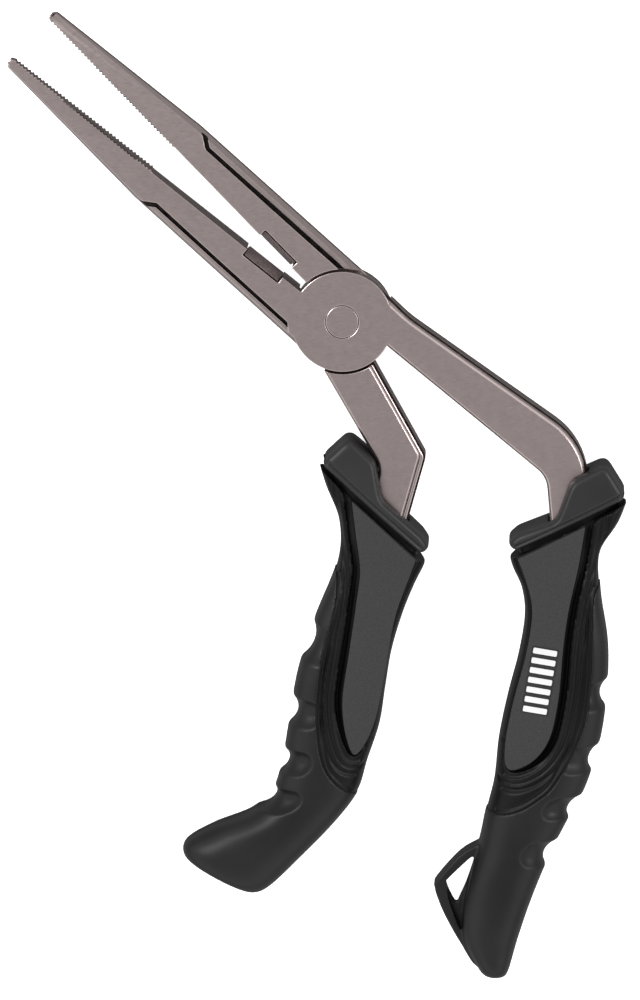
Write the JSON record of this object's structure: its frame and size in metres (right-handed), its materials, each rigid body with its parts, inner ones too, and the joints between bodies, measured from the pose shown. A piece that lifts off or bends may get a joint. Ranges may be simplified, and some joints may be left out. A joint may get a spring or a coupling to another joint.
{
  "type": "fishing pliers",
  "caption": "Long-nose fishing pliers with crossed steel halves on one flush rivet, toothed jaws, side cutters and pistol-bent handles.",
  "frame": {"origin": "on the pivot axis, in the plane of the steel's flat back face, at the centre of the rivet's back head", "axes": "+Z along the pivot axis out of the front face; +Y against the way the handles hang; the nose points to -X and +Y"},
  "size_m": [0.1586, 0.2531, 0.0189],
  "materials": {
    "steel": "satin black nickel",
    "cutter_steel": "ground",
    "hard_plastic": "moulded, soft sheen",
    "panel_plastic": "fine matt grain",
    "soft_rubber": "soft moulded"
  },
  "bodies": {
    "rear": {"rear_half": "steel", "rear_cutter_blade": "cutter_steel", "pivot_rivet": "steel", "left_collar": "hard_plastic", "left_handle_body": "hard_plastic", "left_front_panel": "panel_plastic", "left_back_panel": "panel_plastic", "left_finger_grip": "soft_rubber"},
    "front": {"front_half": "steel", "front_cutter_blade": "cutter_steel", "right_collar": "hard_plastic", "right_handle_body": "hard_plastic", "right_front_panel": "panel_plastic", "right_back_panel": "panel_plastic", "right_palm_grip": "soft_rubber"}
  },
  "joints": [
    {"name": "jaw_pivot", "type": "hinge", "parent": "rear", "child": "front", "pos_m": [0, 0, 0], "axis": [0, 0, 1], "range_deg": [-7, 38]}
  ]
}
